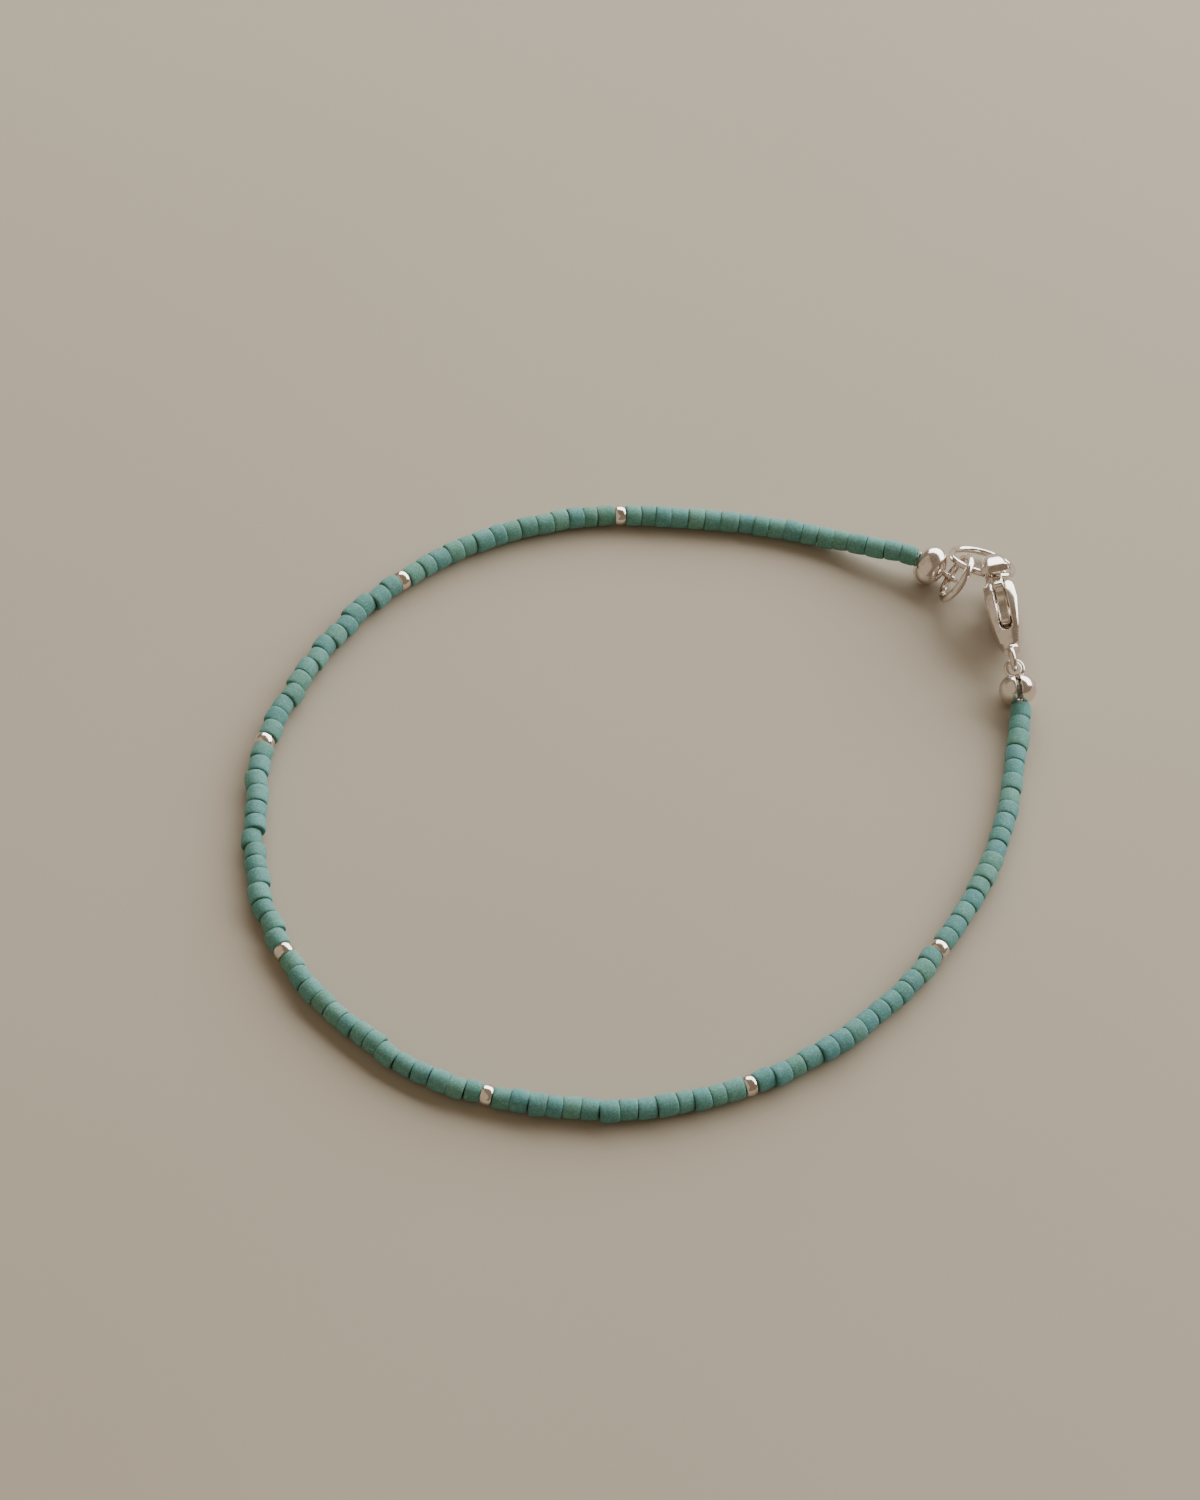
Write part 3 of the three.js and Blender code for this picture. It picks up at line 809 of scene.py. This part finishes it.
@dataclass
class KnotCover:
    """A silver knot cover: two cups on a hinge strap, closed over the knot, with a wire loop."""

    number: int
    at: Point
    axis: Point
    cups: Point
    cup_length: float = 2.4
    cup_width: float = 3.2
    cup_depth: float = 1.22
    wall: float = 0.24
    gap: float = 0.46
    strap_width: float = 1.1
    strap_thickness: float = 0.3
    strap_hole: float = 0.62
    strap_squareness: float = 5.0
    loop: float = 1.64
    loop_wire: float = 0.36
    loop_reach: float = 1.7
    stem_width: float = 0.54
    stem_depth_share: float = 0.9
    stem_back: float = 0.17
    stem_lift: float = 0.2
    stem_rise: float = 0.24
    pole: float = 0.004
    sides: int = 64
    arc_steps: int = 22

    def cup_grid(self) -> np.ndarray:
        """Make one cup: an oval shell with a rounded rim, its pole towards +Z.

        Returns:
            A grid of points, rows round the cup and columns from the inside's pole to the outside's.
        """
        rise = np.linspace(0.0, 0.5 * math.pi, self.arc_steps)
        inner = self.cup_length / 2.0 - self.wall
        inside = np.stack([inner * np.sin(rise), (self.cup_depth - self.wall) * np.cos(rise)], axis=-1)
        about = np.linspace(math.pi, 2.0 * math.pi, 9)[1:-1]
        lip = self.wall / 2.0
        rim = np.stack([inner + lip + lip * np.cos(about), 0.4 * lip * np.sin(about)], axis=-1)
        outside = np.stack([self.cup_length / 2.0 * np.sin(rise), self.cup_depth * np.cos(rise)], axis=-1)
        outline = np.vstack([inside, rim, outside[::-1]])
        outline[[0, -1], 0] = self.pole
        angle = full_turn(self.sides)[:, None]
        wide = self.cup_width / self.cup_length
        return np.stack([outline[:, 0] * np.cos(angle), wide * outline[:, 0] * np.sin(angle),
                         outline[:, 1] + self.gap / 2.0 + 0.0 * angle], axis=-1)

    def strap_grid(self) -> np.ndarray:
        """Make the hinge strap round the thread's hole: a ring pressed to a rounded oblong.

        Returns:
            A grid of points, rows round the strap's section and columns round the hole.
        """
        around = full_turn(48)
        power = self.strap_squareness
        corner = (np.abs(np.cos(around)) ** power + np.abs(np.sin(around)) ** power) ** (-1.0 / power)
        outer = np.stack([self.strap_width / 2.0 * corner * np.cos(around),
                          (self.gap / 2.0 + self.wall) * corner * np.sin(around)], axis=-1)
        inner = self.strap_hole / 2.0 * np.stack([np.cos(around), np.sin(around)], axis=-1)
        half = self.strap_thickness / 2.0
        section = ((0.0, -half), (0.9, -half), (1.0, -0.7 * half),
                   (1.0, 0.7 * half), (0.9, half), (0.0, half))
        rows = [np.column_stack([np.full(len(around), x), inner + share * (outer - inner)])
                for share, x in section]
        grid = np.stack(rows)
        grid[..., 0] -= self.cup_length / 2.0 - half
        return grid

    def stem_grid(self) -> np.ndarray:
        """Make the rounded stem that carries the loop.

        Returns:
            A grid of points, rows round the stem and columns up it.
        """
        rise = np.linspace(0.0, math.pi, 13)
        about = full_turn(20)[:, None]
        thick = np.maximum(self.stem_width / 2.0 * np.sin(rise) ** 0.4, self.pole)
        tall = self.gap / 4.0 + self.stem_rise
        foot = np.array([self.cup_length / 2.0 - self.stem_back, 0.0, self.gap / 4.0 + self.stem_lift])
        return foot + np.stack([thick * np.cos(about), self.stem_depth_share * thick * np.sin(about),
                                -tall * np.cos(rise) + 0.0 * about], axis=-1)

    def build(self, material: Material) -> Object:
        """Make the cups, strap, stem and loop as one piece at the cover's place.

        Args:
            material: The silver.

        Returns:
            The piece.
        """
        parts = MeshParts()
        cup = self.cup_grid()
        parts.grid(cup, True, False)
        parts.grid(cup * (1.0, -1.0, -1.0), True, False)
        parts.grid(self.strap_grid(), True, True)
        across, up, through = np.moveaxis(wire_ring(self.loop, self.loop_wire, 56, 18), -1, 0)
        parts.grid(np.stack([across + self.loop_reach, -through, up], axis=-1), True, True)
        parts.grid(self.stem_grid(), True, False)
        return parts.moved(aimed(self.at, self.axis, self.cups)).object(f"cover_{self.number}", material)


@dataclass
class JumpRing:
    """A ring of round silver wire, closed with a fine butt joint."""

    number: int
    at: Point
    normal: Point
    diameter: float
    wire: float
    joint_at: float
    joint_gap: float = 0.035
    end_shares: tuple[float, float] = (0.02, 0.9)
    sides: int = 96
    wire_sides: int = 24

    def build(self, material: Material) -> Object:
        """Bend the wire round, leave the hairline joint and round off its two ends.

        Args:
            material: The silver.

        Returns:
            The piece.
        """
        middle = (self.diameter - self.wire) / 2.0
        open_half = self.joint_gap / 2.0 / middle
        turn = np.linspace(open_half, 2.0 * math.pi - open_half, self.sides) + math.radians(self.joint_at)
        turn = np.pad(turn, len(self.end_shares), mode="edge")
        size = np.concatenate([self.end_shares, np.ones(self.sides), self.end_shares[::-1]])
        about = full_turn(self.wire_sides)[:, None]
        reach = middle + self.wire / 2.0 * size * np.cos(about)
        height = self.wire / 2.0 * size * np.sin(about)
        grid = np.stack([reach * np.cos(turn), reach * np.sin(turn), height], axis=-1)
        parts = MeshParts()
        parts.grid(grid, True, False)
        lean = Vector((0.0, 0.0, 1.0)).rotation_difference(Vector(self.normal).normalized())
        place = Matrix.Translation(self.at) @ lean.to_matrix().to_4x4()
        return parts.moved(place).object(f"wire_ring_{self.number}", material)


class Casting:
    """A working solid, in millimetres, that is cut, joined and tumbled before it becomes a piece."""

    def __init__(self, shell: BMesh) -> None:
        """Take over a closed shell.

        Args:
            shell: The shell, which is freed.
        """
        mesh = bpy.data.meshes.new("casting")
        shell.to_mesh(mesh)
        shell.free()
        self.solid = bpy.data.objects.new("casting", mesh)
        bpy.context.scene.collection.objects.link(self.solid)

    @classmethod
    def rod(cls, diameter: float, length: float, place: Matrix) -> "Casting":
        """Make a round rod along its own Z axis.

        Args:
            diameter: The rod's diameter.
            length: Its length.
            place: Where its middle is.

        Returns:
            The rod.
        """
        shell = bmesh.new()
        bmesh.ops.create_cone(shell, cap_ends=True, segments=40, radius1=diameter / 2.0,
                              radius2=diameter / 2.0, depth=length, matrix=place)
        return cls(shell)

    @classmethod
    def block(cls, low: Point, high: Point) -> "Casting":
        """Make a block between two corners.

        Args:
            low: Its lowest corner.
            high: Its highest corner.

        Returns:
            The block.
        """
        shell = bmesh.new()
        size = Vector(high) - Vector(low)
        middle = (Vector(high) + Vector(low)) / 2.0
        place = Matrix.Translation(middle) @ Matrix.Diagonal((*size, 1.0))
        bmesh.ops.create_cube(shell, size=1.0, matrix=place)
        return cls(shell)

    @classmethod
    def ring(cls, diameter: float, wire: float, place: Matrix) -> "Casting":
        """Make a ring of round wire.

        Args:
            diameter: Its outside diameter.
            wire: The wire's diameter.
            place: Where its middle is; it goes round that place's Z axis.

        Returns:
            The ring.
        """
        shell = bmesh.new()
        grid = wire_ring(diameter, wire, 56, 20)
        rows = [[shell.verts.new(place @ Vector(point)) for point in row] for row in grid]
        for row, above in zip(rows, rows[1:] + rows[:1]):
            for i in range(len(row)):
                j = (i + 1) % len(row)
                shell.faces.new((row[i], row[j], above[j], above[i]))
        bmesh.ops.recalc_face_normals(shell, faces=shell.faces)
        return cls(shell)

    def apply(self) -> None:
        """Turn the modifiers into the casting's mesh."""
        graph = bpy.context.evaluated_depsgraph_get()
        mesh = bpy.data.meshes.new_from_object(self.solid.evaluated_get(graph))
        self.solid.modifiers.clear()
        old, self.solid.data = self.solid.data, mesh
        bpy.data.meshes.remove(old)

    def combine(self, other: "Casting", how: Combine) -> None:
        """Join another casting to this one, or cut it away.

        Args:
            other: The casting that is used up.
            how: Whether it is joined or cut away.
        """
        change = self.solid.modifiers.new("combine", "BOOLEAN")
        change.operation = how.value
        change.object = other.solid
        change.solver = "EXACT"
        self.apply()
        bpy.data.objects.remove(other.solid)

    def mesh_evenly(self, fineness: float) -> None:
        """Give the casting an even mesh without folds.

        Args:
            fineness: Size of the mesh's cells.
        """
        cells = self.solid.modifiers.new("cells", "REMESH")
        cells.mode = "VOXEL"
        cells.voxel_size = fineness
        self.apply()

    def tumble(self, fineness: float, rounds: int, keep: float) -> None:
        """Soften the edges as casting and tumbling do.

        Args:
            fineness: Size of the mesh's cells.
            rounds: Rounds of smoothing.
            keep: Share of the faces kept afterwards.
        """
        self.mesh_evenly(fineness)
        smooth = self.solid.modifiers.new("smooth", "SMOOTH")
        smooth.factor = 0.5
        smooth.iterations = rounds
        thin = self.solid.modifiers.new("thin", "DECIMATE")
        thin.ratio = keep
        self.apply()

    def piece(self, name: str, place: Matrix, material: Material) -> Object:
        """Put the casting at its place in the row frame, in metres.

        Args:
            name: The piece's name.
            place: Its place, in millimetres.
            material: The silver.

        Returns:
            The piece.
        """
        mesh = self.solid.data
        mesh.transform(Matrix.Scale(MM, 4) @ place)
        mesh.materials.clear()
        mesh.materials.append(material)
        mesh.polygons.foreach_set("use_smooth", np.ones(len(mesh.polygons), dtype=bool))
        mesh.update()
        self.solid.name = mesh.name = name
        return self.solid


@dataclass
class LobsterClasp:
    """The cast silver claw with its tail ring, and the sprung lever that closes it.

    In the outlines the first number runs from the tail to the hook, and the second up from the spine. The
    pin and the collar are given by diameter and length, and the tail ring by diameter and wire.
    """

    at: Point = (27.57, 17.48, 0.2)
    turn: float = 102.0
    lean: float = 16.0
    thickness: float = 2.56
    edge: tuple[float, float] = (0.36, 0.95)
    slot_width: float = 1.0
    slot_from: float = 0.95
    slot_to: float = 5.6
    slot_floor: float = 1.85
    pivot: tuple[float, float] = (2.05, 3.3)
    pin: tuple[float, float] = (0.56, 1.7)
    lever_hole: float = 0.74
    lever_thickness: float = 0.84
    lever_edge: tuple[float, float] = (0.13, 0.16)
    collar: tuple[float, float] = (1.36, 0.5)
    tail_ring: tuple[float, float] = (2.14, 0.52)
    tail_at: tuple[float, float] = (-0.98, 2.3)
    cutter_length: float = 6.0
    drill_length: float = 2.0
    claw_fineness: float = 0.05
    claw_rounds: int = 12
    claw_keep: float = 0.45
    lever_fineness: float = 0.036
    lever_rounds: int = 6
    lever_keep: float = 0.5
    spine: Outline = ((0.0, 1.7), (1.1, 0.95), (2.7, 0.3), (4.8, 0.0), (6.8, 0.22), (8.1, 1.1), (8.6, 2.4),
                      (8.3, 3.65), (7.4, 4.6), (6.2, 5.02))
    eye: Outline = ((5.8, 4.42), (6.6, 3.98), (7.25, 3.3), (7.4, 2.6), (7.0, 1.65), (6.1, 1.02),
                    (5.3, 1.15), (4.95, 1.9))
    brow: Outline = ((5.5, 3.8), (5.05, 4.42), (3.9, 4.62), (2.4, 4.4), (1.1, 3.75), (0.0, 3.0))
    lever_inner: Outline = ((1.75, 2.78), (2.6, 2.72), (4.0, 2.98), (5.6, 3.2), (6.32, 3.4))
    lever_tip: Outline = ((6.25, 3.86), (5.8, 4.15))
    lever_outer: Outline = ((5.8, 4.15), (4.95, 4.22), (4.8, 4.6), (4.55, 4.98), (4.2, 4.92), (3.95, 4.4),
                            (3.5, 3.98), (2.6, 3.84), (1.8, 3.76), (1.5, 3.25), (1.75, 2.78))
    # place along the claw and its half thickness there
    taper: Outline = ((-0.2, 0.66), (1.2, 0.98), (3.4, 1.28), (5.4, 1.2), (6.4, 1.02), (7.4, 0.86),
                      (8.8, 0.68))

    @property
    def place(self) -> Matrix:
        """The clasp's matrix, in millimetres."""
        upright = Matrix.Translation(self.at) @ Matrix.Rotation(math.radians(self.turn), 4, "Z")
        return upright @ Matrix.Rotation(math.radians(-self.lean), 4, "X")

    @staticmethod
    def spot(along: float, up: float) -> Matrix:
        """Give a place in the clasp's middle plane."""
        return Matrix.Translation((along, 0.0, up))

    @classmethod
    def crosswise(cls, along: float, up: float) -> Matrix:
        """Give a place in the middle plane whose Z axis runs across the clasp."""
        return cls.spot(along, up) @ Matrix.Rotation(0.5 * math.pi, 4, "X")

    @staticmethod
    def curve(rows: Outline, steps: int = 8) -> np.ndarray:
        """Sample a smooth curve through an outline's rows.

        Args:
            rows: The rows that it passes through.
            steps: Points for each run between rows.

        Returns:
            The points, the last row among them.
        """
        points = np.array(rows)
        ends = np.vstack([points[0], points, points[-1]])
        runs = [smooth_run(b, (c - a) / 2.0, c, (d - b) / 2.0, steps)
                for a, b, c, d in zip(ends[:-3], ends[1:-2], ends[2:-1], ends[3:])]
        return np.vstack([*runs, points[-1:]])

    @staticmethod
    def plate(outline: np.ndarray, thickness: float, edge: tuple[float, float]) -> BMesh:
        """Make a plate with rounded edges from an outline, standing in the XZ plane.

        Args:
            outline: The closed outline, counter-clockwise, without its first point again.
            thickness: The plate's thickness along Y.
            edge: How far the rounding goes in from the outline, and how deep from each face.

        Returns:
            The closed plate.
        """
        ahead = np.roll(outline, -1, axis=0) - np.roll(outline, 1, axis=0)
        inward = np.stack([-ahead[:, 1], ahead[:, 0]], axis=-1)
        inward /= np.linalg.norm(inward, axis=-1, keepdims=True)
        bow = np.linspace(0.0, 0.5 * math.pi, 7)
        inset = edge[0] * (1.0 - np.cos(bow))
        depth = thickness / 2.0 - edge[1] * (1.0 - np.sin(bow))
        levels = [*zip(inset[::-1], -depth[::-1]), *zip(inset, depth)]
        shell = bmesh.new()
        rings = []
        for step, level in levels:
            flat = outline + step * inward
            rings.append([shell.verts.new((s, level, t)) for s, t in flat])
        for low, high in zip(rings[:-1], rings[1:]):
            for i in range(len(low)):
                j = (i + 1) % len(low)
                shell.faces.new((low[j], low[i], high[i], high[j]))
        shell.faces.new(rings[0])
        shell.faces.new(rings[-1][::-1])
        bmesh.ops.triangulate(shell, faces=[face for face in shell.faces if len(face.verts) > 4])
        bmesh.ops.recalc_face_normals(shell, faces=shell.faces)
        return shell

    def build_claw(self, material: Material) -> Object:
        """Make the claw with its slot, pivot pin, collar and tail ring.

        Args:
            material: The silver.

        Returns:
            The piece.
        """
        outline = np.vstack([self.curve(self.spine), self.curve(self.eye), self.curve(self.brow)])
        shell = self.plate(outline, self.thickness, self.edge)
        places, halves = zip(*self.taper)
        for vert in shell.verts:
            vert.co.y *= float(np.interp(vert.co.x, places, halves)) / (self.thickness / 2.0)
        claw = Casting(shell)
        claw.mesh_evenly(self.claw_fineness)
        half, floor, length = self.slot_width / 2.0, self.slot_floor, self.cutter_length
        round_end = self.slot_from + half
        cutter = Casting.block((round_end, -half, floor), (self.slot_to, half, floor + length))
        claw.combine(cutter, Combine.CUT)
        end_at = self.spot(round_end, floor + length / 2.0)
        claw.combine(Casting.rod(self.slot_width, length, end_at), Combine.CUT)
        collar_at = self.spot(0.0, self.tail_at[1]) @ Matrix.Rotation(0.5 * math.pi, 4, "Y")
        claw.combine(Casting.rod(*self.pin, self.crosswise(*self.pivot)), Combine.JOIN)
        claw.combine(Casting.rod(*self.collar, collar_at), Combine.JOIN)
        claw.combine(Casting.ring(*self.tail_ring, self.crosswise(*self.tail_at)), Combine.JOIN)
        claw.tumble(self.claw_fineness, self.claw_rounds, self.claw_keep)
        return claw.piece("clasp_claw", self.place, material)

    def build_lever(self, material: Material) -> Object:
        """Make the lever with its pivot hole and thumb tab.

        Args:
            material: The silver.

        Returns:
            The piece.
        """
        outline = np.vstack([self.curve(self.lever_inner), self.curve(self.lever_tip)[:-1],
                             self.curve(self.lever_outer)[:-1]])
        lever = Casting(self.plate(outline, self.lever_thickness, self.lever_edge))
        lever.mesh_evenly(self.lever_fineness)
        hole = Casting.rod(self.lever_hole, self.drill_length, self.crosswise(*self.pivot))
        lever.combine(hole, Combine.CUT)
        lever.tumble(self.lever_fineness, self.lever_rounds, self.lever_keep)
        return lever.piece("clasp_thumb_lever", self.place, material)


@dataclass(frozen=True)
class SoftLight:
    """A soft rectangular light that faces the bracelet, with its power in watts."""

    name: str
    at: Point
    size: tuple[float, float]
    power: float
    colour: Colour

    def hang(self) -> None:
        """Add the light to the scene."""
        light = bpy.data.lights.new(self.name, "AREA")
        light.shape = "RECTANGLE"
        light.size, light.size_y = self.size[0] * MM, self.size[1] * MM
        light.energy = self.power
        light.color = self.colour
        holder = bpy.data.objects.new(self.name, light)
        away = Vector(self.at) * MM
        holder.matrix_world = Matrix.Translation(away) @ away.to_track_quat("Z", "Y").to_matrix().to_4x4()
        bpy.context.scene.collection.objects.link(holder)


@dataclass
class Studio:
    """The camera at the photograph's viewing angle, the pale floor and the soft lights."""

    target: Point = (-3.38, 3.65, 0.82)
    distance: float = 270.68
    elevation: float = 54.0
    roll: float = 7.8
    lens: float = 86.4
    sensor: float = 36.0
    clip: tuple[float, float] = (5.0, 20000.0)
    floor_half: float = 1500.0
    lights: tuple[SoftLight, ...] = (
        SoftLight("window", (220.0, 430.0, 290.0), (1250.0, 480.0), 12.6, (0.97, 0.985, 1.0)),
        SoftLight("fill", (-420.0, -260.0, 300.0), (1500.0, 1100.0), 1.5, (1.0, 0.84, 0.68)),
    )
    room: Colour = (0.5, 0.405, 0.29)
    room_strength: float = 0.52

    def add_camera(self) -> None:
        """Set the camera."""
        rise = math.radians(self.elevation)
        back = Vector((0.0, -math.cos(rise), math.sin(rise)))
        upright = Vector((0.0, math.sin(rise), math.cos(rise)))
        level = Vector((1.0, 0.0, 0.0))
        lean = math.radians(self.roll)
        right = math.cos(lean) * level + math.sin(lean) * upright
        up = math.cos(lean) * upright - math.sin(lean) * level
        camera = bpy.data.cameras.new("camera")
        camera.sensor_fit = "VERTICAL"
        camera.sensor_height = self.sensor
        camera.lens = self.lens
        camera.clip_start, camera.clip_end = self.clip[0] * MM, self.clip[1] * MM
        holder = bpy.data.objects.new("camera", camera)
        turn = Matrix((right, up, back)).transposed().to_4x4()
        holder.matrix_world = Matrix.Translation((Vector(self.target) + self.distance * back) * MM) @ turn
        bpy.context.scene.collection.objects.link(holder)
        bpy.context.scene.camera = holder

    def add_floor(self, finish: Finish) -> None:
        """Lay the floor.

        Args:
            finish: The floor's finish.
        """
        near, far = ([[-1.0, y, 0.0], [1.0, y, 0.0]] for y in (-1.0, 1.0))
        parts = MeshParts()
        parts.grid(self.floor_half * np.array([near, far]), False, False)
        parts.object("studio_floor", finish.material())

    def add_lights(self) -> None:
        """Light the bracelet from above and behind, with a weak fill and a dim room."""
        for light in self.lights:
            light.hang()
        world = bpy.data.worlds.new("room")
        world.use_nodes = True
        background = world.node_tree.nodes["Background"].inputs
        background["Color"].default_value = (*self.room, 1.0)
        background["Strength"].default_value = self.room_strength
        bpy.context.scene.world = world


def dress_strings(route: ThreadRoute) -> None:
    """Thread the beads and spacers, and the thread itself.

    Args:
        route: The thread's way.
    """
    glass = EtchedGlass().material()
    silver = PolishedSilver("spacer_polished_silver", roughness=(0.1, 0.22)).material()
    lays = (Lay.EVEN, Lay.EASY, Lay.EASY, Lay.UNEVEN, Lay.UNEVEN, Lay.UNEVEN, Lay.EASY, Lay.EVEN)
    coolness = (0.66, 0.6, 0.5, 0.38, 0.3, 0.28, 0.3, 0.34)
    spans = route.spans()
    for number, (count, span, lay, cool) in enumerate(zip(route.beads, spans, lays, coolness), start=1):
        stretch = BeadStretch(number, count, span, lay, cool)
        seat(stretch.build(route, glass), f"bead_string_{number}")
    for number, (_, end) in enumerate(spans[:-1], start=1):
        spacer = SpacerBead(number, end + route.spacer_length / 2.0)
        seat(spacer.build(route, silver), f"spacer_{number}")
    seat(TwistedThread().build(route, TwistedYarn().material()), "thread")


def dress_fastening(route: ThreadRoute) -> None:
    """Make the knot covers, jump rings and clasp.

    Args:
        route: The thread's way, whose ends are the knots.
    """
    finding = PolishedSilver("finding_polished_silver").material()
    wire = PolishedSilver("wire_polished_silver", roughness=(0.08, 0.18), hairlines_per_mm=9.0).material()
    covers = (
        KnotCover(1, tuple(route.line[-1]), (0.922, -0.3, -0.244), (0.0, -0.59, 0.81)),
        KnotCover(2, tuple(route.line[0]), (-0.238, 0.921, 0.308), (1.0, 0.3, 0.2)),
    )
    for cover in covers:
        seat(cover.build(finding), f"knot_cover_{cover.number}")
    rings = (
        JumpRing(1, (22.39, 23.55, 2.51), (-0.893, 0.181, 0.411), 4.4, 0.6, 200.0),
        JumpRing(2, (24.36, 25.89, 1.98), (-0.124, -0.503, -0.855), 5.5, 0.54, 60.0),
    )
    for ring in rings:
        seat(ring.build(wire), f"jump_ring_{ring.number}")
    clasp = LobsterClasp()
    seat(clasp.build_claw(finding), "clasp_body")
    seat(clasp.build_lever(finding), "clasp_lever", Body.LEVER)


def main() -> None:
    """Load the frame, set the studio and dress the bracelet."""
    logging.basicConfig(level=logging.INFO, format="%(name)s: %(message)s")
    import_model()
    studio = Studio()
    studio.add_camera()
    studio.add_floor(PaleFloor())
    studio.add_lights()
    route = ThreadRoute()
    dress_strings(route)
    dress_fastening(route)
    LOG.info("route %.2f mm", route.length)


if __name__ == "__main__":
    main()
